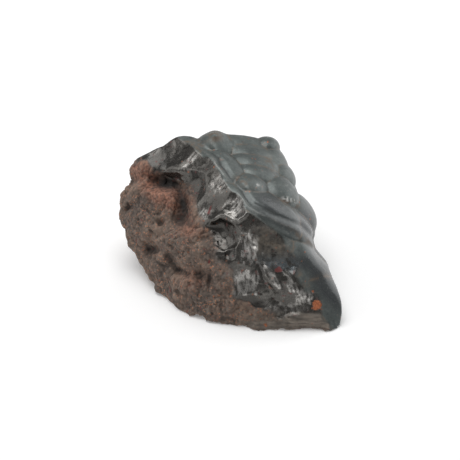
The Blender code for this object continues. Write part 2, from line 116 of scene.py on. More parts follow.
# Lobes seen from the front: across, up, half length, half width, turn in degrees, and rise over the bed.
LOBES = {
    "behind_peak": (-2.0, 25.0, 7.5, 5.0, 0, 1.8),
    "crown": (6.0, 24.4, 11.0, 5.0, -8, 2.5),
    "crown_side": (13.0, 20.6, 7.2, 6.2, -50, 2.6),
    "first_scale": (7.4, 21.8, 9.5, 4.6, -14, 2.6),
    "second_scale": (8.6, 18.6, 9.0, 4.5, -16, 2.7),
    "third_scale": (9.4, 15.6, 8.4, 4.4, -14, 2.8),
    "front_scale": (6.4, 12.6, 6.0, 4.4, -18, 2.6),
    "ridge_strip": (-1.4, 18.6, 10.0, 4.4, -49, 2.0),
    "rim_small": (16.0, 15.8, 5.2, 5.0, -20, 2.8),
    "knuckle": (15.2, 11.0, 7.8, 6.2, -25, 3.4),
    "long_roll": (13.4, 5.4, 15.0, 6.0, -29, 2.3),
    "long_roll_end": (21.0, 0.6, 9.0, 6.0, -42, 1.9),
    "rim_roll": (21.4, 5.4, 7.6, 5.8, -60, 2.8),
    "tip_skin": (25.4, -9.0, 9.0, 6.0, -50, 1.2),
    "tip_skin_low": (29.0, -17.0, 11.0, 6.0, -70, 1.1),
    "knob": (11.2, 24.6, 4.6, 3.6, -20, 3.8),
}
VISIBLE_LOBE_DEPTH = 9.0

# Lobes are fuller than domes. Each leans like a roof tile, so that its upper rim covers the lobe above.
LOBE_FULLNESS = 1.35
LOBE_TILT = 0.3
LOBE_ROUNDING = 0.12

# The ridge between the grown skin and the broken face is a thin raised edge with a groove on its skin side.
RIDGE = ((-9.9, 24.8), (-7.1, 22.3), (-4.3, 19.5), (-1.0, 14.4), (1.8, 11.1), (5.2, 6.3))
RIDGE += ((11.1, 3.2), (18.9, 0.1), (23.9, -5.2))
RIDGE_EDGE_WIDTH = 0.9
RIDGE_EDGE_HEIGHT = 0.45
GROOVE_SHIFT = (1.0, 0.9)
GROOVE_WIDTH = 0.9
GROOVE_DEPTH = 0.5
GROOVE_BACK = -4.0
GROOVE_FADE = 4.0

# A lip that overhangs the hollow under the lower silvery facet.
LIP = ((-4.6, 3.0), (-3.2, 4.0), (-1.6, 4.2), (0.4, 3.0), (2.2, 2.8), (4.0, 4.0), (5.4, 6.2))
LIP_WIDTH = 0.9
LIP_HEIGHT = 0.9

# A waist on the right, between the last roll and the skin of the tip: across, up, half sizes, turn, depth.
WAIST = (26.4, -4.2, 3.8, 3.8, 0, 2.2)

# A small sharp peak of the skin beside the ridge: across, up, half sizes, turn, height.
SKIN_PEAK = (-4.3, 27.2, 2.3, 2.0, 0, 2.2)
PEAK_SHAPE = 0.7

# Lobes of the hidden skin follow a spiral over the block. They are found by looking at the block from all
# round, in steps along lines to its heart.
SPIRAL_LOBES = 190
HIDDEN_LOBE_SIZES = (5.0, 7.5)
HIDDEN_LOBE_RISES = (0.9, 1.7)
MOST_HIDDEN_OUTLOOK = -0.1
GOLDEN_TURN = pi * (3 - sqrt(5))
HEART = np.array((0.0, 1.0, 15.0))
SEARCH_REACH = 45
SEARCH_STEPS = 400

# Scoops broken out of the face: across, up, half width, half height, turn in degrees, depth, and slopes
# across and up.
SCOOPS = {
    "top_facet": (-15.8, 21.6, 9.4, 6.0, 20, 0.9, 0.0, 0.0),
    "crest_facet": (-8.8, 19.6, 4.4, 4.4, 0, 0.7, 0.1, 0.0),
    "middle_facet": (-9.9, 12.0, 5.2, 6.8, -15, 1.3, 0.1, 0.0),
    "upper_silver": (-3.0, 12.8, 4.6, 4.0, 0, 0.8, 0.0, -0.1),
    "small_left": (-6.4, 5.4, 3.0, 3.4, 0, 0.8, -0.1, 0.1),
    "lip_silver": (2.1, 6.2, 4.7, 4.6, -20, 0.9, 0.0, -0.1),
    "under_lip": (-2.4, -0.8, 6.4, 4.9, 8, 2.0, 0.0, 0.12),
    "dark_well": (0.0, -5.8, 2.4, 4.6, 5, 1.1, 0.0, 0.0),
    "speckled": (5.6, -4.6, 4.1, 5.4, 0, 0.8, 0.0, -0.1),
    "olive_hollow": (12.8, -2.6, 8.2, 5.9, -12, 1.5, 0.0, 0.0),
    "edge_hollow": (19.6, -3.8, 5.0, 3.4, -30, 0.8, -0.1, 0.0),
    "blue_hollow": (16.2, -8.8, 9.6, 4.2, -12, 1.3, 0.0, -0.06),
    "right_hollow": (23.0, -11.5, 4.6, 4.4, -30, 0.9, -0.1, 0.0),
    "fibre_facet": (3.2, -15.0, 6.0, 6.2, 0, 0.9, 0.05, -0.05),
    "dark_band": (4.6, -20.0, 5.4, 2.6, -5, 0.9, 0.0, 0.1),
    "low_facet": (13.6, -21.0, 7.2, 4.4, 5, 0.9, 0.0, 0.0),
    "under_ochre": (22.6, -17.6, 5.2, 5.4, -30, 0.8, -0.05, 0.0),
}
SCOOP_STEEPNESS = 1.5
SCOOP_ROUNDING = 0.15
SCOOP_WAVE = 1.3
SCOOP_WAVE_SIZE = 4.0
FACE_SCOOP_SEATS = 200
FACE_SCOOP_RADII = (4.5, 8.0)
FACE_SCOOP_DEPTHS = (0.3, 0.9)

# Raised forms of the face: across, up, half width, half height, turn in degrees, height.
LUMPS = {
    "red_corner": (-24.8, 18.0, 3.6, 3.2, 0, 1.4),
    "left_bulge": (-25.4, 9.4, 4.6, 4.2, 0, 1.2),
    "plum_bulge": (-25.0, 1.4, 5.2, 4.6, 0, 1.6),
    "cave_tongue": (-17.2, 9.4, 4.8, 2.2, -20, 1.8),
    "cave_sill": (-10.6, 4.6, 1.4, 3.6, 10, 1.0),
    "tan_bulge": (-8.8, -4.8, 5.8, 3.8, -10, 1.2),
    "brown_pillow": (-17.0, -4.2, 4.6, 3.2, 20, 0.9),
    "side_pillow": (-22.4, -10.4, 3.6, 3.0, 30, 0.9),
    "button": (-11.8, -15.0, 2.9, 2.7, 0, 1.2),
    "low_bulge": (-15.6, -17.6, 3.2, 2.2, -35, 0.8),
    "foot_bulge": (-5.4, -21.4, 3.4, 2.6, 0, 0.8),
    "left_rib": (11.3, -13.2, 1.6, 4.6, 36, 1.2),
    "middle_rib": (16.2, -14.6, 1.6, 3.6, 36, 1.1),
    "right_rib": (20.6, -16.8, 1.4, 2.6, 36, 0.7),
    "foot_band": (24.0, -24.6, 7.0, 1.4, -3, 0.7),
}
LUMP_SHAPE = 1.5

# Pits and holes: across, up, half width, half height, turn in degrees, depth.
PITS = {
    "cave_roof": (-18.0, 13.4, 4.2, 2.4, -5, 4.2),
    "cave_side": (-13.2, 7.4, 2.0, 4.6, 18, 3.2),
    "cave_low": (-13.8, 2.6, 2.4, 2.6, 0, 2.4),
    "pin_hole": (-19.7, 2.2, 0.8, 0.8, 0, 1.3),
    "black_pit": (-21.7, -5.4, 2.0, 1.4, -10, 2.2),
    "brown_well": (-8.2, -12.4, 2.2, 1.8, -10, 1.6),
    "slot": (-5.6, -13.8, 0.8, 2.0, -6, 1.6),
    "end_slot": (-28.4, 6.4, 0.9, 2.6, -55, 1.2),
    "notch": (-28.4, 13.8, 1.2, 2.0, -60, 1.6),
}
PIT_SMOOTHNESS = 0.9

# Cracks: start, end, half width and depth.
CRACKS = {
    "long_crack": ((7.7, -9.3), (12.3, -19.5), 0.8, 0.6),
    "brown_crack": ((-17.2, -7.1), (-14.2, -11.3), 1.1, 1.3),
    "brown_crack_end": ((-14.2, -11.3), (-11.6, -12.2), 1.0, 0.8),
    "speckled_crack": ((4.0, -1.8), (6.8, -4.2), 0.8, 0.5),
}

# The earthy part of the face lies left of this edge: across and up.
EARTH_EDGE = ((-27.0, 19.5), (-19.0, 16.0), (-12.2, 14.4), (-10.5, 8.0), (-8.0, 1.3), (-3.8, -0.7))
EARTH_EDGE += ((-1.0, -11.3), (1.0, -19.7), (8.8, -22.5), (17.2, -24.8), (31.0, -25.4))
EARTH_FADE = 2.0
EARTH_WAVES = (7.0, 0.5)
EARTH_PILLOWS = (3.4, 0.32)
GLOSSY_SHARE = 0.2
HIDDEN_ROUGHNESS = 0.6

# Scoops of the hidden broken sides and of the underside.
SPIRAL_SCOOPS = 110
HIDDEN_SCOOP_RADII = (6.0, 26.0)
HIDDEN_SCOOP_DEPTHS = (0.5, 2.8)
HIDDEN_SCOOP_WAVE = 1.6
MOST_SCOOPED_OUTLOOK = -0.35


def from_face(across, up, out):
    """A point of the stone's frame from its face coordinates."""
    return across * ACROSS + up * UP + out * OUT + np.array((0, 0, MIDDLE_HEIGHT))


def to_face(p):
    """How far across and up the face each point lies."""
    q = p - np.array((0, 0, MIDDLE_HEIGHT))
    return q @ ACROSS, q @ UP


def cell_numbers(cells, seed):
    """A repeatable number from 0 to 1 for each whole-number cell."""
    c = cells.astype(np.uint32)
    h = c[..., 0] * np.uint32(374761393) + c[..., 1] * np.uint32(668265263)
    h = h + c[..., 2] * np.uint32(2246822519) + np.uint32(seed * 3266489917 % 2**32)
    h = (h ^ (h >> np.uint32(13))) * np.uint32(1274126177)
    return ((h ^ (h >> np.uint32(16))) & np.uint32(0xFFFF)) / 0xFFFF


def noise(p, size, seed):
    """Smooth noise from -1 to 1 with bumps about size across."""
    q = p / size
    cell = np.floor(q).astype(np.int64)
    t = q - cell
    t = t * t * (3 - 2 * t)
    total = np.zeros(len(p))
    for corner in product((0, 1), repeat=3):
        weight = np.prod(np.where(corner, t, 1 - t), axis=1)
        total += weight * cell_numbers(cell + np.array(corner), seed)
    return 2 * total - 1


def soft_most(values, rounding):
    """The largest of several values, rounded where two of them are nearly the same."""
    top = np.max(values, axis=0)
    return top + rounding * np.log(sum(np.exp((value - top) / rounding) for value in values))


def soft_least(values, rounding):
    """The smallest of several values, rounded where two of them are nearly the same."""
    return -soft_most([-value for value in values], rounding)


def block_planes():
    """Outward normals and offsets of the rough block's faces."""
    corners = [from_face(*c) for c in FACE_CORNERS.values()]
    corners += [np.array(c) for c in BACK_CORNERS.values()]
    bm = bmesh.new()
    for corner in corners:
        bm.verts.new(corner)
    bmesh.ops.convex_hull(bm, input=bm.verts)
    bm.normal_update()
    normals = np.array([f.normal for f in bm.faces])
    offsets = np.array([f.normal.dot(f.verts[0].co) for f in bm.faces])
    bm.free()
    return normals, offsets


NORMALS, OFFSETS = block_planes()
IS_SKIN = NORMALS @ SKIN_FACING > SKIN_SHARE
IS_FRONT = ~IS_SKIN & (NORMALS @ OUT > 0)
IS_REST = ~IS_SKIN & ~IS_FRONT
OFFSETS += SKIN_MARGIN * IS_SKIN + BROKEN_MARGIN * IS_FRONT + HIDDEN_MARGIN * IS_REST


def planes(p, chosen):
    return soft_most(list((p @ NORMALS[chosen].T - OFFSETS[chosen]).T), EDGE_ROUNDING)


def block(p):
    return np.max([planes(p, chosen) for chosen in (IS_SKIN, IS_FRONT, IS_REST)], axis=0)


def oval(across, up, form):
    """Squared distance from the middle of an oval of the face, which is 1 on its outline."""
    middle_across, middle_up, half_width, half_height, turn = form[:5]
    c, s = cos(radians(turn)), sin(radians(turn))
    a, u = across - middle_across, up - middle_up
    return ((a * c + u * s) / half_width) ** 2 + ((u * c - a * s) / half_height) ** 2


def from_line(across, up, start, end):
    """Distance from a straight stretch between two points of the face."""
    along = np.array(end) - np.array(start)
    share = ((across - start[0]) * along[0] + (up - start[1]) * along[1]) / (along @ along)
    share = np.clip(share, 0, 1)
    return np.hypot(across - start[0] - share * along[0], up - start[1] - share * along[1])


def earthiness(across, up):
    """One on the earthy part of the face, and zero on its glossy part."""
    edge_across, edge_up = np.array(EARTH_EDGE[::-1]).T
    inside = np.interp(up, edge_up, edge_across) - across
    return np.clip(0.5 + inside / EARTH_FADE, 0, 1)


def roughness(p):
    """Long waves, and on them small pillows with sharp creases between them."""
    waves = EARTH_WAVES[1] * noise(p, EARTH_WAVES[0], 4)
    return waves + EARTH_PILLOWS[1] * (3 * np.abs(noise(p, EARTH_PILLOWS[0], 9)) - 0.8)


def scoop(across, up, form):
    """Height of one scoop's hollow floor over the flat side that it is broken out of."""
    depth, slope_across, slope_up = form[5:]
    bowl = depth * (oval(across, up, form) - 1)
    return bowl + slope_across * (across - form[0]) + slope_up * (up - form[1])


def from_path(across, up, path):
    """Distance from a path of straight stretches on the face."""
    stretches = zip(path[:-1], path[1:])
    return np.min([from_line(across, up, start, end) for start, end in stretches], axis=0)


def face_relief(p):
    """How far the broken face stands out from the block's flat sides."""
    across, up = to_face(p)
    wavy_across = across + SCOOP_WAVE * noise(p, SCOOP_WAVE_SIZE, 1)
    wavy_up = up + SCOOP_WAVE * noise(p, SCOOP_WAVE_SIZE, 2)
    hollows = [SCOOP_STEEPNESS * scoop(wavy_across, wavy_up, form) for form in SCOOPS.values()]
    wavy = p + (wavy_across - across)[:, None] * ACROSS + (wavy_up - up)[:, None] * UP
    for seat, radius, depth in FACE_SCOOPS:
        hollows.append(depth * (((wavy - seat) ** 2).sum(axis=1) / radius**2 - 1))
    height = soft_least([np.zeros(len(p)), *hollows], SCOOP_ROUNDING)
    height += RIDGE_EDGE_HEIGHT * np.exp(-((from_path(across, up, RIDGE) / RIDGE_EDGE_WIDTH) ** 2))
    height += LIP_HEIGHT * np.exp(-((from_path(across, up, LIP) / LIP_WIDTH) ** 2))
    for form in LUMPS.values():
        height += form[5] * np.exp(-oval(across, up, form) ** LUMP_SHAPE)
    rough_share = GLOSSY_SHARE + (1 - GLOSSY_SHARE) * earthiness(across, up)
    for form in PITS.values():
        hole = np.exp(-oval(across, up, form))
        height -= form[5] * hole
        rough_share = rough_share * (1 - PIT_SMOOTHNESS * hole)
    for start, end, half_width, depth in CRACKS.values():
        height -= depth * np.exp(-((from_line(across, up, start, end) / half_width) ** 2))
    return height + roughness(p) * rough_share


def surface_along(start, direction, reach):
    """The first point from start along direction that lies in the block, or None."""
    points = start + np.linspace(0, reach, SEARCH_STEPS)[:, None] * direction
    inside = np.flatnonzero(block(points) <= 0)
    return points[inside[0]] if len(inside) else None


def side_axes(p, chosen):
    """Two directions along the nearest chosen side of the block, and that side's outward normal."""
    out = NORMALS[chosen][np.argmax(p @ NORMALS[chosen].T - OFFSETS[chosen])]
    level = np.cross(out, OUT)
    level = level / np.linalg.norm(level)
    return np.array((level, np.cross(out, level), out))


def spiral_seats(count, chosen):
    """Points spread evenly over the chosen sides of the block."""
    for i in range(count):
        height = 1 - 2 * (i + 0.5) / count
        ring = sqrt(1 - height * height)
        direction = np.array((ring * cos(i * GOLDEN_TURN), ring * sin(i * GOLDEN_TURN), height))
        seat = surface_along(HEART + SEARCH_REACH * direction, -direction, SEARCH_REACH)
        if planes(seat[None], chosen)[0] > -0.5:
            yield seat


def make_lobes():
    """Each lobe as its middle, three directions as rows, half sizes along them, and its rise."""
    made = []
    for across, up, half_length, half_width, turn, rise in LOBES.values():
        seat = surface_along(from_face(across, up, 40), -OUT, 80)
        c, s = cos(radians(turn)), sin(radians(turn))
        axes = np.array((c * ACROSS + s * UP, c * UP - s * ACROSS, OUT))
        made.append((seat, axes, np.array((half_length, half_width, VISIBLE_LOBE_DEPTH)), rise))
    rng = np.random.default_rng(7)
    for seat in spiral_seats(SPIRAL_LOBES, IS_SKIN):
        size, shape = rng.uniform(*HIDDEN_LOBE_SIZES), rng.uniform(0.75, 1)
        turn, rise = rng.uniform(0, pi), rng.uniform(*HIDDEN_LOBE_RISES)
        axes = side_axes(seat, IS_SKIN)
        if axes[2] @ OUT < MOST_HIDDEN_OUTLOOK:
            axes[:2] = np.array(((cos(turn), sin(turn)), (-sin(turn), cos(turn)))) @ axes[:2]
            made.append((seat, axes, np.array((size, size * shape, size)), rise))
    return made


def make_face_scoops():
    """Many small scoops over the whole broken face, as middle, radius and depth."""
    rng = np.random.default_rng(5)
    made = []
    for seat in spiral_seats(FACE_SCOOP_SEATS, IS_FRONT):
        made.append((seat, rng.uniform(*FACE_SCOOP_RADII), rng.uniform(*FACE_SCOOP_DEPTHS)))
    return made


def make_hidden_scoops():
    """Round scoops in the sides seen from behind and below, as seat, outward normal, radius and depth."""
    rng = np.random.default_rng(11)
    made = []
    for seat in spiral_seats(SPIRAL_SCOOPS, IS_REST):
        radius, depth = rng.uniform(*HIDDEN_SCOOP_RADII), rng.uniform(*HIDDEN_SCOOP_DEPTHS)
        out = side_axes(seat, IS_REST)[2]
        if out @ OUT < MOST_SCOOPED_OUTLOOK:
            made.append((seat, out, radius, depth))
    return made


LOBE_FORMS = make_lobes()
FACE_SCOOPS = make_face_scoops()
HIDDEN_SCOOPS = make_hidden_scoops()
OFFSETS[IS_SKIN] -= SKIN_BED


def lobe_heights(p):
    """The height of each lobe's surface over the bed."""
    heights = []
    for seat, axes, half_sizes, rise in LOBE_FORMS:
        near = ((p - seat) @ axes.T) / half_sizes
        crown = rise * np.maximum(1 - (near**2).sum(axis=1) ** LOBE_FULLNESS, -1)
        heights.append(crown + LOBE_TILT * np.clip(near[:, 1], -1, 1))
    return heights


def skin_relief(p):
    """How far the grown skin stands out from its bed: the highest of the lobes everywhere."""
    across, up = to_face(p)
    groove = from_path(across - GROOVE_SHIFT[0], up - GROOVE_SHIFT[1], RIDGE) / GROOVE_WIDTH
    in_front = np.clip((p @ OUT - GROOVE_BACK) / GROOVE_FADE, 0, 1)
    cut = GROOVE_DEPTH * in_front * np.exp(-(groove**2)) + WAIST[5] * np.exp(-oval(across, up, WAIST))
    peak = SKIN_PEAK[5] * np.exp(-(oval(across, up, SKIN_PEAK) ** PEAK_SHAPE))
    return soft_most([np.zeros(len(p)), *lobe_heights(p)], LOBE_ROUNDING) + peak - cut


def sides(p):
    """About how far each point lies outside the broken face, the hidden broken sides and the grown skin."""
    front = planes(p, IS_FRONT) - face_relief(p)
    wave = np.stack([noise(p, SCOOP_WAVE_SIZE, seed) for seed in (6, 7, 8)], axis=1)
    wavy = p + HIDDEN_SCOOP_WAVE * wave
    bites = []
    for seat, out, radius, depth in HIDDEN_SCOOPS:
        bites.append(radius - np.linalg.norm(wavy - seat - (radius - depth) * out, axis=1))
    rest = soft_most([planes(p, IS_REST) - HIDDEN_ROUGHNESS * roughness(p), *bites], SCOOP_ROUNDING)
    skin = planes(p, IS_SKIN) - skin_relief(p)
    return front, rest, skin


def mesh_points(mesh):
    points = np.empty(len(mesh.vertices) * 3)
    mesh.vertices.foreach_get("co", points)
    return points.reshape(-1, 3)


def evaluated(obj):
    return bpy.data.meshes.new_from_object(obj.evaluated_get(bpy.context.evaluated_depsgraph_get()))


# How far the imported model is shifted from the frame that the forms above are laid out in.
START = np.array((-0.243, 3.84, 0.0))

# The fine mesh has even faces. They are cut in four where they look out of the broken face by more than the
# next number, or out and up by more than the two after it.
FINE_FACE = 0.565
HALVED_OUTLOOK = 0.05
HALVED_TOP_OUTLOOK = -0.35
HALVED_TOP_RISE = 0.5
FINE_EDGE_ROUNDING = 0.12

# Fine waves of each side as size, height and seed. Sockets, and the painted shade in them, also have a share
# of the area.
EARTH_GRAIN = ((1.5, 0.22, 21), (0.8, 0.14, 22))
EARTH_SOCKETS = ((2.4, 0.95, 23, 0.24), (4.6, 0.7, 27, 0.16))
SOCKET_SHADES = ((2.4, 0.7, 23, 0.2), (4.6, 0.5, 27, 0.16))
GLOSSY_GRAIN = ((2.0, 0.05, 24), (0.9, 0.03, 25))
SKIN_GRAIN = ((1.2, 0.03, 26),)
HIDDEN_GRAIN = 0.6

# The ridge's sharp line and the groove beside it fade behind the face and stray by noise: its size and reach.
FINE_RIDGE_WIDTH = 0.35
FINE_RIDGE_HEIGHT = 0.28
FINE_GROOVE_WIDTH = 0.4
FINE_GROOVE_DEPTH = 0.6
FRONT_FADE = 2.0
EDGE_STRAY = (4.0, 0.45)

# Lumps of the earthy part and chips of the glossy part as size and height, the noise that bends the lumps as
# size and reach, and the mean height of a bowl.
COARSE_LUMPS = (2.6, 0.8)
FINE_LUMPS = (1.15, 0.42)
LUMP_STRAY = (1.6, 0.45)
LARGE_CHIPS = (3.6, 0.24)
SMALL_CHIPS = (1.4, 0.18)
BOWL_MIDDLE = 0.3

# Chips, streaks and fibres of the silvery patches as length and width, and the chips' height.
SILVER_GRAIN = (1.9, 0.8)
SILVER_STREAKS = (2.4, 0.6)
SILVER_FIBRES = (1.8, 0.42)
SILVER_HEIGHT = 0.15

# Masks and patches end below these values. Then the width of painted creases, and the bend that is painted
# as fully raised, as pale worn edges, or fully sunken, as painted shade.
UNSEEN = 0.01
PATCH_END = 0.03
CREASE_WIDTH = 0.1
FULL_BEND = 1.2

# The material's noises as size and detail, their roughness, and the dark of the glossy part, also laid on as
# painted shade.
NOISE_SIZES = ((6, 4), (2.2, 4), (0.8, 3), (0.35, 2))
NOISE_ROUGHNESS = 0.55
DEEP_GREY = (0.05, 0.047, 0.043)

# Silvery patches of the face, painted pale as highlights on a silvery fracture: across, up, half width, half
# height, turn in degrees, grain direction in degrees from across, and brightness.
SILVER_HIGHLIGHTS = {
    "left_facet_edge": (-21.0, 22.2, 2.6, 0.5, 38, 40, 0.15),
    "top_streaks": (-10.6, 20.2, 1.0, 2.4, -35, 50, 0.5),
    "top_streaks_low": (-13.0, 17.2, 0.8, 1.4, -35, 50, 0.35),
    "upper_silver": (-2.8, 12.8, 2.7, 2.5, 0, 50, 0.3),
    "lower_silver": (2.2, 6.2, 3.1, 2.9, -20, 50, 0.4),
    "small_left": (-7.0, 4.4, 1.9, 1.7, -30, 70, 0.3),
    "edge_left": (-8.6, -2.4, 1.0, 1.6, 10, 70, 0.4),
    "speckled": (5.4, -4.6, 2.6, 3.7, 5, 95, 0.9),
    "left_rib": (11.9, -13.4, 1.1, 4.0, 36, 115, 0.95),
    "middle_rib": (17.0, -15.2, 1.1, 2.7, 36, 115, 0.8),
    "right_rib": (20.8, -18.0, 2.2, 2.0, 30, 110, 0.7),
    "fibres": (4.2, -14.6, 3.8, 3.2, 0, 92, 0.55),
    "fibres_left": (-0.8, -13.6, 1.5, 2.8, 0, 92, 0.45),
    "low_right": (18.2, -21.6, 3.4, 1.8, 10, 100, 0.3),
    "low_middle": (12.4, -22.0, 3.2, 1.6, 10, 100, 0.25),
    "highlight": (20.6, -8.6, 0.6, 1.5, 30, 120, 1.0),
}

# Places of the glossy part painted dark as shade.
SHADED_GLOSS = {
    "left_shoulder": (-21.4, 19.6, 4.0, 2.6, 30, 0.9),
    "beside_lower_silver": (-3.4, 8.2, 1.8, 2.6, -35, 0.8),
    "above_upper_silver": (-5.4, 17.4, 2.0, 2.2, -35, 0.7),
    "lower_right": (22.4, -13.0, 2.0, 2.4, 25, 0.8),
    "top_facet": (-15.2, 21.8, 4.6, 3.4, 20, 0.8),
    "middle_facet": (-8.9, 12.6, 2.4, 4.6, -10, 0.8),
    "scoop": (-2.2, 0.2, 4.4, 2.6, 5, 0.9),
    "well": (0.4, -7.6, 1.8, 4.2, 0, 0.8),
    "between_ribs": (14.6, -12.6, 1.0, 3.4, 36, 0.8),
    "band": (4.6, -19.9, 5.0, 1.8, -4, 1.2),
    "right_low": (16.0, -20.0, 2.0, 1.2, 10, 0.6),
    "tip": (25.6, -14.0, 2.4, 5.0, 25, 0.8),
}

# Colours laid on the face: across, up, half width, half height, turn in degrees, and strength.
RED_EARTH = {
    "corner": (-25.6, 17.4, 3.4, 3.4, 0, 0.9),
    "cave_rim": (-21.6, 12.4, 4.6, 3.6, -20, 0.8),
    "cave_tongue": (-17.0, 9.2, 6.0, 3.2, -25, 1.4),
    "cave_side": (-12.4, 2.0, 3.0, 4.0, 0, 0.5),
    "under_cave": (-10.0, -0.6, 4.0, 2.0, 0, 0.4),
    "well_rim": (-10.4, -13.6, 4.2, 3.0, 0, 0.4),
}
OCHRE = {
    "largest": (24.0, -20.8, 2.1, 1.4, -15, 1.1),
    "largest_tail": (23.6, -19.9, 1.0, 0.8, 0, 0.7),
    "above": (22.9, -16.9, 0.8, 0.7, 0, 0.9),
    "foot": (9.4, -26.2, 1.0, 0.6, 0, 0.7),
    "right": (28.6, -22.0, 0.7, 0.5, 0, 0.6),
    "foot_left": (-16.0, -21.0, 0.8, 0.5, 0, 0.6),
}
DARK_RED = {
    "rib_end": (13.4, -10.8, 1.2, 0.9, 0, 0.8),
    "left_dash": (-5.7, 5.4, 0.3, 1.2, -25, 0.9),
    "brown_dash": (-5.7, -8.6, 0.3, 0.9, -10, 0.7),
}
OLIVE = {
    "wide": (13.0, -3.4, 7.0, 5.0, -10, 1.0),
    "foot": (14.0, -24.8, 12.0, 2.4, -3, 0.6),
    "tip_foot": (25.0, -24.8, 6.0, 2.2, -3, 0.6),
}
FOOT_BAND = {
    "right": (24.0, -25.3, 8.0, 2.0, -2, 1.2),
    "middle": (12.0, -26.4, 8.0, 1.6, -2, 1.0),
}
# Painted sheen on the glossy part. On the skin the same patches are darker: its own tone near the tip,
# painted shade on the lit rolls and rim.
SHEEN_AND_SHADE = {
    "hollow": (15.0, -8.8, 7.0, 2.6, -5, 1.0),
    "left_shoulder": (-21.6, 19.4, 5.0, 3.0, 25, 0.2),
    "tip": (27.0, -13.0, 4.4, 11.0, 25, 1.2),
    "roll": (15.0, 3.4, 11.0, 3.4, -27, 0.75),
    "knuckle_front": (11.4, 8.2, 4.0, 2.0, -25, 0.6),
    "rim": (22.4, 5.0, 3.0, 6.0, 0, 0.8),
}

# Small spots of the skin painted pale as highlights.
GLINT_HIGHLIGHTS = {
    "knuckle": (15.9, 8.6, 1.5, 0.7, -15, 1.2),
    "knuckle_right": (18.2, 8.0, 0.8, 0.5, -15, 0.8),
    "front_scale": (6.9, 12.6, 1.3, 0.5, -8, 0.9),
}

# Brown earth caught in the creases of the skin.
CREASE_EARTH = {
    "knuckle": (16.4, 7.6, 3.4, 1.0, -15, 0.9),
    "ridge_top": (3.6, 13.6, 2.6, 1.6, -48, 0.8),
    "scales": (11.2, 18.6, 0.9, 2.4, 25, 0.8),
    "small_peak": (-4.4, 26.6, 2.4, 2.0, 0, 0.9),
    "saddle": (-8.6, 24.6, 1.8, 1.4, 0, 0.8),
    "roll_end": (20.4, -2.4, 4.2, 0.8, -35, 0.7),
}

# The picture: its width in pixels and a pixel's size. The camera: distance and reach in metres, and angle.
SHOWN_WIDTH = 460
PIXEL = 0.28
DISTANCE = 0.7
FAR_CLIP = 20
VIEW_LIFT = radians(35)

# Lights: place and size in metres, and power.
LAMPS = {
    "top_box": ((-0.1, 0.25, 0.9), 0.9, 7.0),
    "right_box": ((0.75, 0.5, 0.25), 0.9, 3.1),
    "left_box": ((-0.8, 0.05, 0.4), 0.6, 1.6),
}
LAMP_AIM = (0, 0, 0.017)
FLOOR_REACH = 3.0
FLOOR_DROP = 0.0002
FLOOR_GLOW = 0.15
SKY_STRENGTH = 0.28
WHITE = (1, 1, 1, 1)


def patch(across, up, form):
    """One in the middle of an oval, falling smoothly to nothing past its outline."""
    return np.exp(-oval(across, up, form) ** 1.6)


def patches(across, up, forms):
    return np.clip(sum(form[5] * patch(across, up, form) for form in forms.values()), 0, 1.5)


def waves(p, forms):
    """The sum of several noises, each given as its size, height and seed."""
    return sum(height * noise(p, size, seed) for size, height, seed in forms)


def grains(p, size, seed, share):
    """Bumps of one size where noise passes a limit, from 0 to 1."""
    return np.clip((noise(p, size, seed) - 1 + 2 * share) / (2 * share), 0, 1)


def drawn_out(p, direction, long, short):
    """Places in units of a grain that is long one way along the face and short the other two ways."""
    across, up = to_face(p)
    c, s = cos(radians(direction)), sin(radians(direction))
    q = ((across * c + up * s) / long, (up * c - across * s) / short, (p @ OUT) / short)
    return np.stack(q, axis=1)


def bowls(q, seed, steep=0.0):
    """Height in small bowls that lie side by side, one to a unit, and each bowl's number from 0 to 1."""
    cell = np.floor(q).astype(np.int64)
    lowest = np.full(len(q), np.inf)
    tone = np.zeros(len(q))
    for corner in product((-1, 0, 1), repeat=3):
        near = cell + np.array(corner)
        place = np.stack([cell_numbers(near, seed + k) for k in range(3)], axis=1)
        d = q - near - 0.1 - 0.8 * place
        floor = (d * d).sum(axis=1) + steep * (d * (place[:, ::-1] - 0.5)).sum(axis=1)
        closer = floor < lowest
        lowest[closer] = floor[closer]
        tone[closer] = place[closer, 0]
    return lowest, tone


def ochre_share(p, across, up):
    """One on the bright ochre spots, whose outlines are ragged."""
    ochre = patches(across, up, OCHRE) + 0.55 * noise(p, 0.9, 46) + 0.4 * noise(p, 0.45, 47)
    return np.clip((ochre - 0.6) / 0.2, 0, 1)


def earth_lumps(q):
    """Lumps of two sizes whose strength changes from place to place, where below zero they are sockets."""
    stray_size, stray_reach = LUMP_STRAY
    stray = q + stray_reach * np.stack([noise(q, stray_size, seed) for seed in (48, 49, 50)], axis=1)
    coarse_share = np.clip(0.5 + 1.0 * noise(q, 5.0, 51), -0.8, 1.1)
    fine_share = np.clip(0.6 + 0.9 * noise(q, 3.2, 54), -0.6, 1.2)
    size, height = COARSE_LUMPS
    relief = -height * coarse_share * (bowls(stray / size, 52, 1.0)[0] - BOWL_MIDDLE)
    size, height = FINE_LUMPS
    fine = height * fine_share * (bowls(stray / size, 56, 0.8)[0] - BOWL_MIDDLE)
    return relief - (fine - 0.12 * noise(q, 0.6, 55))


def glossy_chips(q):
    """Chips of two sizes, the smaller ones in patches."""
    patchy = np.clip(0.35 + 1.1 * noise(q, 4.5, 61), 0.0, 1.0)
    size, depth = LARGE_CHIPS
    large = depth * bowls(q / size, 62, 1.4)[0]
    size, depth = SMALL_CHIPS
    return large + depth * patchy * bowls(q / size, 66, 1.4)[0]


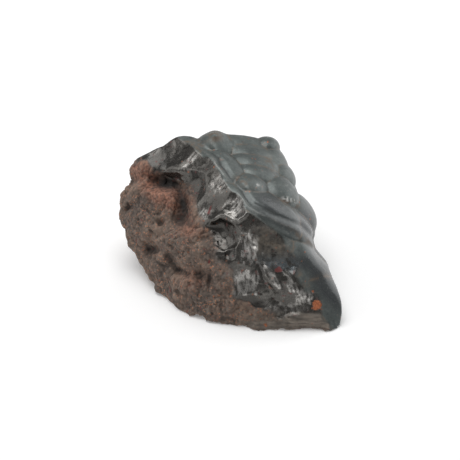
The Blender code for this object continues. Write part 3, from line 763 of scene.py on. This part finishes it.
def surface_grain(p, masks):
    """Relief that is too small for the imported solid: lumps of earth and chips of the glossy part."""
    across, up = to_face(p)
    height = np.zeros(len(p))
    earthy = masks["earth"] > UNSEEN
    height[earthy] += masks["earth"][earthy] * earth_lumps(p[earthy])
    glossy = masks["broken"] * (1 - masks["earth"])
    flat = glossy > UNSEEN
    calm = 1 - 0.85 * np.clip(patches(across[flat], up[flat], SHADED_GLOSS), 0, 1)
    height[flat] += glossy[flat] * calm * glossy_chips(p[flat])
    for form in SILVER_HIGHLIGHTS.values():
        inside = patch(across, up, form) * masks["broken"]
        near = inside > PATCH_END
        q = drawn_out(p[near], form[5], *SILVER_GRAIN)
        height[near] += SILVER_HEIGHT * inside[near] * (bowls(q, 71, 1.0)[0] - BOWL_MIDDLE)
    ochre = ochre_share(p, across, up)
    near = ochre > UNSEEN
    height[near] += ochre[near] * (0.12 - 0.45 * bowls(p[near] / 0.7, 75)[0])
    return height


def groove_share(across):
    """The groove beside the ridge is deep at the top and fades to the right."""
    return np.clip((9 - across) / 6, 0.12, 1)


def wavered(p):
    """Face coordinates with small waves, so that long edges aren't straight."""
    across, up = to_face(p)
    size, reach = EDGE_STRAY
    return across + reach * noise(p, size, 29), up + reach * noise(p, size, 30)


def line_height(across, up, path, width):
    """One on a path over the face, falling smoothly to nothing beside it."""
    return np.exp(-((from_path(across, up, path) / width) ** 2))


def fine_sides(p):
    """The stone's three kinds of side with their fine relief."""
    front, rest, skin = sides(p)
    across, up = to_face(p)
    wavy_across, wavy_up = wavered(p)
    earth = earthiness(across, up)
    granular = waves(p, EARTH_GRAIN)
    for size, depth, seed, share in EARTH_SOCKETS:
        granular = granular - depth * grains(p, size, seed, share)
    front = front - earth * granular - (1 - earth) * waves(p, GLOSSY_GRAIN)
    near_front = np.exp(-((front / FRONT_FADE) ** 2))
    uneven = 1 + 0.6 * noise(p, 3.0, 28)
    front = front - FINE_RIDGE_HEIGHT * uneven * line_height(wavy_across, wavy_up, RIDGE, FINE_RIDGE_WIDTH)
    rest = rest - HIDDEN_GRAIN * granular
    groove = line_height(wavy_across - 0.55, wavy_up - 0.5, RIDGE, FINE_GROOVE_WIDTH)
    skin = skin + FINE_GROOVE_DEPTH * groove_share(across) * near_front * groove - waves(p, SKIN_GRAIN)
    return front, rest, skin


def stone(p):
    return soft_most(fine_sides(p), FINE_EDGE_ROUNDING)


def settle(p, rounds=5, feel=0.05, longest=0.3):
    """Points that are already near the stone's surface, moved onto it."""
    for turn in range(rounds):
        value = stone(p)
        if turn % 2 == 0:
            slope = np.stack([stone(p + feel * axis) - value for axis in np.eye(3)], axis=1) / feel
            slope /= np.maximum((slope**2).sum(axis=1), 0.5)[:, None]
        step = -value[:, None] * slope
        length = np.linalg.norm(step, axis=1)[:, None]
        p = p + step * np.minimum(1, longest / np.maximum(length, 1e-9))
    return p


def halve_faces(mesh, chosen):
    """Cut the chosen faces in four."""
    bm = bmesh.new()
    bm.from_mesh(mesh)
    edges = {edge for face, keep in zip(bm.faces, chosen) if keep for edge in face.edges}
    bmesh.ops.subdivide_edges(bm, edges=list(edges), cuts=1, use_grid_fill=True)
    bm.to_mesh(mesh)
    bm.free()


def fine_mesh(node):
    """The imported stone's form again, with even faces small enough for the fine relief."""
    obj = bpy.data.objects.new("stone_surface", node.data.copy())
    bpy.context.scene.collection.objects.link(obj)
    even = obj.modifiers.new("even_faces", "REMESH")
    even.mode = "VOXEL"
    even.voxel_size = FINE_FACE * MM
    obj.data = evaluated(obj)
    obj.data.name = "stone_surface"
    obj.modifiers.clear()
    facing = np.empty(len(obj.data.polygons) * 3)
    obj.data.polygons.foreach_get("normal", facing)
    facing = facing.reshape(-1, 3)
    outlook, upward = facing @ OUT, facing[:, 2]
    on_top = (outlook > HALVED_TOP_OUTLOOK) & (upward > HALVED_TOP_RISE)
    halve_faces(obj.data, (outlook > HALVED_OUTLOOK) | on_top)
    return obj


def move_points(mesh, p):
    mesh.vertices.foreach_set("co", ((p - START) * MM).ravel())
    mesh.update()


def vertex_normals(mesh):
    normals = np.empty(len(mesh.vertices) * 3)
    mesh.vertices.foreach_get("normal", normals)
    return normals.reshape(-1, 3)


def bends(mesh):
    """How sharply each point stands out of its neighbours, in 1/mm, and below zero in a crease."""
    ends = np.empty(len(mesh.edges) * 2, dtype=np.int32)
    mesh.edges.foreach_get("vertices", ends)
    a, b = ends.reshape(-1, 2).T
    p = mesh_points(mesh) / MM
    count = np.bincount(ends, minlength=len(p))

    def mean_of_neighbours(values):
        return (np.bincount(a, values[b], len(p)) + np.bincount(b, values[a], len(p))) / count

    toward = np.stack([mean_of_neighbours(column) for column in p.T], axis=1) - p
    gaps = np.linalg.norm(p[a] - p[b], axis=1)
    gap = (np.bincount(a, gaps, len(p)) + np.bincount(b, gaps, len(p))) / count
    bend = -(toward * vertex_normals(mesh)).sum(axis=1) / gap**2
    return 0.5 * bend + 0.5 * mean_of_neighbours(bend)


def paint(mesh, name, values):
    layer = mesh.attributes.new(name, "FLOAT", "POINT")
    layer.data.foreach_set("value", np.ascontiguousarray(values, dtype=np.float32))


def lobe_gap(p):
    """How much lower the second highest lobe is than the highest, which is nothing in a crease."""
    top = np.sort(np.partition(np.array(lobe_heights(p)), -2, axis=0)[-2:], axis=0)
    return top[1] - top[0]


def side_masks(p):
    """Which of the stone's sides each point lies on, each from 0 to 1."""
    across, up = to_face(p)
    front, rest, skin = fine_sides(p)
    on_skin = np.clip(0.5 + (skin - np.maximum(front, rest)) / 0.3, 0, 1)
    on_rest = np.clip(0.5 + (rest - np.maximum(front, skin)) / 0.8, 0, 1)
    stray_across = 2.2 * noise(p, 3.4, 41) + 0.9 * noise(p, 1.2, 44)
    stray_up = 2.2 * noise(p, 3.4, 42) + 0.9 * noise(p, 1.2, 45)
    earth = earthiness(across + stray_across, up + stray_up) * (1 - on_rest)
    hidden_earth = np.clip(0.75 + 0.9 * noise(p, 9.0, 43), 0, 1)
    return {
        "skin": on_skin,
        "earth": (earth + on_rest * hidden_earth) * (1 - on_skin),
        "broken": (1 - on_skin) * (1 - on_rest),
    }


def silver_highlight_share(p, across, up):
    """How bright each point of the silvery patches is as painted highlight, in small chips with fibres drawn
    over them.
    """
    silver_highlight = np.zeros(len(p))
    for form in SILVER_HIGHLIGHTS.values():
        inside = patch(across, up, form)
        near = inside > PATCH_END
        q = p[near]
        tone = bowls(drawn_out(q, form[5], *SILVER_GRAIN), 71, 1.0)[1]
        streak = noise(drawn_out(q, form[5], *SILVER_STREAKS), 1.0, 32)
        fibre = noise(drawn_out(q, form[5], *SILVER_FIBRES), 1.0, 33)
        bright = np.clip((inside[near] + 0.55 * (tone - 0.5) + 0.35 * streak - 0.3) / 0.25, 0, 1)
        lit = np.clip(0.42 + 0.4 * tone + 1.3 * fibre, 0.05, 1.2)
        silver_highlight[near] = np.maximum(silver_highlight[near], form[6] * bright * lit)
    return silver_highlight


def hollow_shade(p, across, up, earth):
    """How deep each point lies in the pits, cracks and sockets of the face, for the painted shade in them."""
    holes = sum(form[5] / 4 * np.exp(-oval(across, up, form) * 1.3) for form in PITS.values())
    cracks = 0
    for start, end, half_width, _ in CRACKS.values():
        cracks = cracks + np.exp(-((from_line(across, up, start, end) / half_width / 0.8) ** 2))
    sockets = sum(painted_shade * grains(p, size, seed, share) for size, painted_shade, seed, share in SOCKET_SHADES)
    return np.clip(1.3 * holes + 0.5 * cracks + sockets * earth, 0, 1)


def paint_stone(mesh, p, masks):
    """Store where each of the material's colours lies, painted highlights and painted shade among them."""
    across, up = to_face(p)
    skin, earth, broken = masks["skin"], masks["earth"], masks["broken"]
    paint(mesh, "skin", skin)
    paint(mesh, "earth", earth)
    for name, forms in (("red_earth", RED_EARTH), ("olive", OLIVE), ("foot_band", FOOT_BAND)):
        paint(mesh, name, patches(across, up, forms) * broken)
    paint(mesh, "ochre", ochre_share(p, across, up))
    dark_red = patches(across, up, DARK_RED) + 0.6 * noise(p, 0.8, 48)
    paint(mesh, "dark_red", np.clip((dark_red - 0.4) / 0.3, 0, 0.8) * broken)
    # Painted highlight: small pale glints on the skin.
    speckle = np.clip(0.3 + 1.6 * noise(p, 0.5, 63), 0, 1)
    paint(mesh, "glint_highlight", patches(across, up, GLINT_HIGHLIGHTS) * speckle * skin)
    patchy = np.clip(0.5 + 1.5 * noise(p, 1.1, 64), 0, 1)
    paint(mesh, "crease_earth", patches(across, up, CREASE_EARTH) * patchy * skin)
    # Painted sheen on the glossy part, and darker skin that is partly painted shade.
    paint(mesh, "sheen_and_shade", patches(across, up, SHEEN_AND_SHADE))
    # Painted shade on places of the glossy part.
    painted_shade = np.clip(patches(across, up, SHADED_GLOSS), 0, 1)
    paint(mesh, "painted_shade", painted_shade * broken)
    # Painted highlight on the silvery patches.
    paint(mesh, "silver_highlight", silver_highlight_share(p, across, up) * broken * (1 - painted_shade))
    # Painted shade in the pits, cracks and sockets.
    paint(mesh, "hollow", hollow_shade(p, across, up, earth) * broken)
    paint(mesh, "crease", np.exp(-lobe_gap(p) / CREASE_WIDTH) * skin)


def paint_edges(mesh, p, masks):
    """Store the painted highlight on the ridge and lip, painted shade in the groove beside the ridge, the
    raised worn edges, and the sunken places painted as shade.
    """
    across, up = to_face(p)
    wavy_across, wavy_up = wavered(p)
    in_front = np.exp(-((sides(p)[0] / FRONT_FADE) ** 2))
    lip = line_height(across, up, LIP, 0.3) * (1 - masks["skin"])
    ridge = line_height(wavy_across + 0.05, wavy_up + 0.05, RIDGE, 0.24)
    groove = line_height(wavy_across - 0.6, wavy_up - 0.55, RIDGE, 0.32)
    # Painted highlight along the lip and the ridge.
    paint(mesh, "edge_highlight", np.clip(lip + ridge * in_front, 0, 1))
    # Painted shade in the groove beside the ridge.
    paint(mesh, "groove", groove * in_front * groove_share(across))
    bend = bends(mesh) / FULL_BEND
    paint(mesh, "raised", np.clip(bend, 0, 1))
    # Painted shade where the surface lies deep.
    paint(mesh, "sunken_shade", np.clip(-bend, 0, 1))


def shape_stone(mesh):
    """Move the mesh onto the stone's surface, add the fine relief, and paint what the material needs."""
    p = settle(mesh_points(mesh) / MM + START)
    move_points(mesh, p)
    masks = side_masks(p)
    grown = p + vertex_normals(mesh) * surface_grain(p, masks)[:, None]
    grown[:, 2] = np.maximum(grown[:, 2], 0)
    move_points(mesh, grown)
    mesh.shade_smooth()
    paint_stone(mesh, p, masks)
    paint_edges(mesh, p, masks)


class Shading:
    """A material's nodes. Where a share is 0, mix and blend give the first value."""

    def __init__(self, name):
        self.material = bpy.data.materials.new(name)
        self.material.use_nodes = True
        self.tree = self.material.node_tree
        self.shader = self.tree.nodes["Principled BSDF"]
        self.place = self.node("ShaderNodeTexCoord").outputs["Object"]

    def node(self, kind, **settings):
        made = self.tree.nodes.new(kind)
        for name, value in settings.items():
            setattr(made, name, value)
        return made

    def put(self, socket, value):
        if isinstance(value, bpy.types.NodeSocket):
            self.tree.links.new(value, socket)
        else:
            socket.default_value = value

    def painted(self, name):
        return self.node("ShaderNodeAttribute", attribute_name=name).outputs["Fac"]

    def noise(self, size, detail, stretch=(1, 1, 1)):
        """Noise from 0 to 1 with bumps about size millimetres across."""
        mapping = self.node("ShaderNodeMapping")
        self.put(mapping.inputs["Vector"], self.place)
        mapping.inputs["Scale"].default_value = stretch
        made = self.node("ShaderNodeTexNoise")
        self.put(made.inputs["Vector"], mapping.outputs["Vector"])
        self.put(made.inputs["Scale"], 1 / (size * MM))
        self.put(made.inputs["Detail"], detail)
        self.put(made.inputs["Roughness"], NOISE_ROUGHNESS)
        return made.outputs["Fac"]

    def span(self, value, low, high, to_low=0.0, to_high=1.0):
        """Value stretched from low and high to two other limits."""
        made = self.node("ShaderNodeMapRange")
        limits = {"Value": value, "From Min": low, "From Max": high, "To Min": to_low, "To Max": to_high}
        for name, limit in limits.items():
            self.put(made.inputs[name], limit)
        return made.outputs["Result"]

    def math(self, operation, first, second):
        made = self.node("ShaderNodeMath", operation=operation)
        self.put(made.inputs[0], first)
        self.put(made.inputs[1], second)
        return made.outputs["Value"]

    def times(self, first, second):
        return self.math("MULTIPLY", first, second)

    def most(self, first, second):
        return self.math("MAXIMUM", first, second)

    def mix(self, share, first, second):
        made = self.node("ShaderNodeMix", data_type="RGBA")
        self.put(made.inputs["Factor"], share)
        for socket, value in ((made.inputs["A"], first), (made.inputs["B"], second)):
            self.put(socket, value if isinstance(value, bpy.types.NodeSocket) else (*value, 1))
        return made.outputs["Result"]

    def over(self, colour, share, strength, second):
        return self.mix(self.times(share, strength), colour, second)

    def blend(self, share, first, second):
        made = self.node("ShaderNodeMix", data_type="FLOAT")
        for socket, value in zip(made.inputs[:1] + made.inputs[2:4], (share, first, second)):
            self.put(socket, value)
        return made.outputs["Result"]


def glossy_colour(s, coarse, middle, small, tiny):
    """Dark metal with pale worn edges, silvery patches painted as highlights, painted sheen, and painted
    shade in dark places and dents.
    """
    colour = s.mix(s.span(coarse, 0.35, 0.65), (0.075, 0.071, 0.066), (0.13, 0.124, 0.114))
    colour = s.over(colour, s.span(small, 0.6, 0.72), 0.6, (0.22, 0.205, 0.185))
    colour = s.over(colour, s.span(small, 0.46, 0.34), 0.7, (0.045, 0.042, 0.038))
    # Painted sheen: bluish lighter patches.
    colour = s.over(colour, s.painted("sheen_and_shade"), s.span(middle, 0.35, 0.6), (0.15, 0.18, 0.2))
    worn = s.times(s.painted("raised"), s.span(middle, 0.3, 0.7))
    colour = s.over(colour, worn, 0.6, (0.38, 0.36, 0.33))
    # Painted shade on dark places of the glossy part.
    colour = s.over(colour, s.painted("painted_shade"), 0.8, DEEP_GREY)
    # Painted highlight: the silvery patches are laid on pale.
    colour = s.mix(s.painted("silver_highlight"), colour, (0.6, 0.58, 0.55))
    colour = s.over(colour, s.span(tiny, 0.48, 0.38), 0.55, DEEP_GREY)
    # Painted shade in dents.
    return s.over(colour, s.painted("sunken_shade"), 0.7, DEEP_GREY)


def earth_colour(s, coarse, middle, small):
    """Brown earth with tan and dark places, orange specks, red earth about the cave, and painted shade in its
    dents, pits, cracks and sockets.
    """
    colour = s.mix(s.span(s.noise(9, 3), 0.38, 0.62), (0.076, 0.055, 0.043), (0.205, 0.143, 0.106))
    colour = s.over(colour, s.span(coarse, 0.6, 0.42), 0.6, (0.06, 0.048, 0.041))
    colour = s.mix(s.span(middle, 0.55, 0.7), colour, (0.18, 0.15, 0.125))
    colour = s.over(colour, s.span(small, 0.55, 0.75), 0.7, (0.225, 0.15, 0.105))
    colour = s.over(colour, s.span(small, 0.42, 0.3), 0.7, (0.045, 0.034, 0.028))
    specks = s.span(s.noise(0.45, 1), 0.59, 0.65)
    colour = s.over(colour, specks, s.span(middle, 0.42, 0.58), (0.44, 0.18, 0.09))
    red = s.mix(s.span(small, 0.35, 0.65), (0.1, 0.04, 0.025), (0.38, 0.17, 0.105))
    colour = s.over(colour, s.painted("red_earth"), s.span(middle, 0.2, 0.5), red)
    colour = s.over(colour, s.painted("raised"), 0.55, (0.31, 0.225, 0.17))
    # Painted shade in dents.
    colour = s.over(colour, s.painted("sunken_shade"), 0.95, (0.022, 0.015, 0.012))
    # Painted shade: the pits, cracks and sockets are nearly black.
    return s.mix(s.painted("hollow"), colour, (0.012, 0.008, 0.006))


def skin_colour(s, coarse, middle, small, tiny):
    """Grey with a green tint, with fine pale dust, and brown earth in its creases. It is darker where the
    sheen patches lie, its own tone near the tip and painted shade on the rolls and rim, with painted shade in
    dents and in the groove, and painted highlights on small spots.
    """
    colour = s.mix(s.span(coarse, 0.35, 0.65), (0.068, 0.083, 0.08), (0.12, 0.14, 0.133))
    colour = s.mix(s.span(small, 0.55, 0.8), colour, (0.18, 0.185, 0.175))
    # Darker where the sheen patches lie: its own tone near the tip, painted shade on the rolls and rim.
    colour = s.mix(s.math("MINIMUM", s.painted("sheen_and_shade"), 0.9), colour, (0.055, 0.06, 0.063))
    colour = s.over(colour, s.span(tiny, 0.56, 0.68), 0.35, (0.22, 0.22, 0.205))
    colour = s.over(colour, s.span(small, 0.45, 0.3), 0.5, (0.06, 0.066, 0.066))
    # Painted shade in dents.
    colour = s.mix(s.painted("sunken_shade"), colour, (0.028, 0.027, 0.024))
    colour = s.over(colour, s.painted("crease"), s.span(middle, 0.4, 0.6), (0.19, 0.14, 0.1))
    colour = s.over(colour, s.painted("crease_earth"), 0.75, (0.15, 0.1, 0.066))
    # Painted highlight on small spots.
    colour = s.mix(s.painted("glint_highlight"), colour, (0.52, 0.52, 0.5))
    # Painted shade in the groove beside the ridge.
    return s.mix(s.painted("groove"), colour, (0.018, 0.017, 0.016))


def stone_material():
    """Glossy metal, dull earth and satin skin, each where the mesh is painted for it."""
    s = Shading("hematite")
    noises = coarse, middle, small, tiny = [s.noise(size, detail) for size, detail in NOISE_SIZES]
    skin, earth, silver_highlight = s.painted("skin"), s.painted("earth"), s.painted("silver_highlight")
    red, ochre, sheen_shade_mask = s.painted("dark_red"), s.painted("ochre"), s.painted("sheen_and_shade")
    olive = s.times(s.painted("olive"), s.span(middle, 0.35, 0.6))
    band = s.math("MINIMUM", s.painted("foot_band"), 0.9)

    colour = s.mix(earth, glossy_colour(s, *noises), earth_colour(s, *noises[:3]))
    mud = s.mix(s.span(small, 0.35, 0.65), (0.065, 0.052, 0.038), (0.15, 0.125, 0.095))
    colour = s.mix(olive, colour, mud)
    colour = s.mix(red, colour, (0.16, 0.018, 0.015))
    layers = s.span(s.noise(1.6, 3, stretch=(0.25, 0.25, 1.6)), 0.38, 0.62)
    colour = s.mix(band, colour, s.mix(layers, (0.085, 0.072, 0.06), (0.23, 0.195, 0.16)))
    colour = s.mix(skin, colour, skin_colour(s, *noises))
    # Painted highlight along the ridge and the lip.
    edge_highlight_share = s.times(s.painted("edge_highlight"), s.span(middle, 0.38, 0.62, 0.15, 0.8))
    colour = s.mix(edge_highlight_share, colour, (0.26, 0.25, 0.235))
    rust = s.mix(s.span(tiny, 0.3, 0.7), (0.22, 0.065, 0.028), (0.54, 0.17, 0.062))
    s.put(s.shader.inputs["Base Color"], s.mix(ochre, colour, rust))

    dull = s.most(s.most(olive, ochre), s.most(red, band))
    metal = s.blend(s.most(earth, s.times(dull, 0.9)), 0.85, 0.0)
    s.put(s.shader.inputs["Metallic"], s.blend(skin, metal, 0.38))

    rough = s.blend(silver_highlight, s.span(small, 0.3, 0.7, 0.16, 0.32), 0.34)
    rough = s.blend(s.most(earth, dull), rough, 0.8)
    satin = s.blend(s.math("MINIMUM", sheen_shade_mask, 1.0), s.span(middle, 0.3, 0.7, 0.34, 0.46), 0.26)
    satin = s.blend(s.painted("crease_earth"), satin, 0.7)
    s.put(s.shader.inputs["Roughness"], s.blend(skin, rough, satin))
    s.shader.inputs["IOR"].default_value = 1.6

    depth = s.times(s.span(tiny, 0, 1), s.blend(earth, 0.25, 1.0))
    depth = s.math("ADD", depth, s.times(small, s.blend(earth, 0.35, 1.2)))
    bump = s.node("ShaderNodeBump")
    bump.inputs["Strength"].default_value = 0.6
    bump.inputs["Distance"].default_value = 0.16 * MM
    s.put(bump.inputs["Height"], s.times(depth, s.blend(skin, 1.0, 0.5)))
    s.put(s.shader.inputs["Normal"], bump.outputs["Normal"])
    return s.material


def floor_material():
    s = Shading("white_paper")
    s.shader.inputs["Base Color"].default_value = (0.92, 0.92, 0.92, 1)
    s.shader.inputs["Roughness"].default_value = 0.9
    s.shader.inputs["Emission Color"].default_value = WHITE
    s.shader.inputs["Emission Strength"].default_value = FLOOR_GLOW
    return s.material


def lamp(name, place, size, power):
    data = bpy.data.lights.new(name, "AREA")
    data.size = size
    data.energy = power
    obj = bpy.data.objects.new(name, data)
    obj.location = place
    obj.rotation_euler = (Vector(LAMP_AIM) - Vector(place)).to_track_quat("-Z", "Y").to_euler()
    bpy.context.scene.collection.objects.link(obj)


def studio():
    """A white floor, an even pale sky and three soft lights."""
    floor = bpy.data.meshes.new("floor")
    corners = [(x * FLOOR_REACH, y * FLOOR_REACH, 0) for x, y in ((-1, -1), (1, -1), (1, 1), (-1, 1))]
    floor.from_pydata(corners, [], [(0, 1, 2, 3)])
    floor.materials.append(floor_material())
    obj = bpy.data.objects.new("floor", floor)
    obj.location.z = -FLOOR_DROP
    bpy.context.scene.collection.objects.link(obj)
    world = bpy.data.worlds.new("studio")
    world.use_nodes = True
    sky = world.node_tree.nodes["Background"].inputs
    sky["Color"].default_value = WHITE
    sky["Strength"].default_value = SKY_STRENGTH
    bpy.context.scene.world = world
    for name, (place, size, power) in LAMPS.items():
        lamp(name, place, size, power)


def camera():
    """A camera at the photograph's viewing angle."""
    data = bpy.data.cameras.new("camera")
    obj = bpy.data.objects.new("camera", data)
    aim = Vector((0, 0, MIDDLE_HEIGHT * MM)) - Vector(START * MM)
    back = Vector((0, -cos(VIEW_LIFT), sin(VIEW_LIFT)))
    obj.location = aim + back * DISTANCE
    obj.rotation_euler = (-back).to_track_quat("-Z", "Y").to_euler()
    data.lens = data.sensor_width * DISTANCE / (SHOWN_WIDTH * PIXEL * MM)
    data.clip_end = FAR_CLIP
    bpy.context.scene.collection.objects.link(obj)
    bpy.context.scene.camera = obj


surface = fine_mesh(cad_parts["stone"])
shape_stone(surface.data)
surface.data.materials.clear()
surface.data.materials.append(stone_material())
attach(surface, "root")
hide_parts("stone")
studio()
camera()
bpy.context.scene.view_settings.view_transform = "Standard"
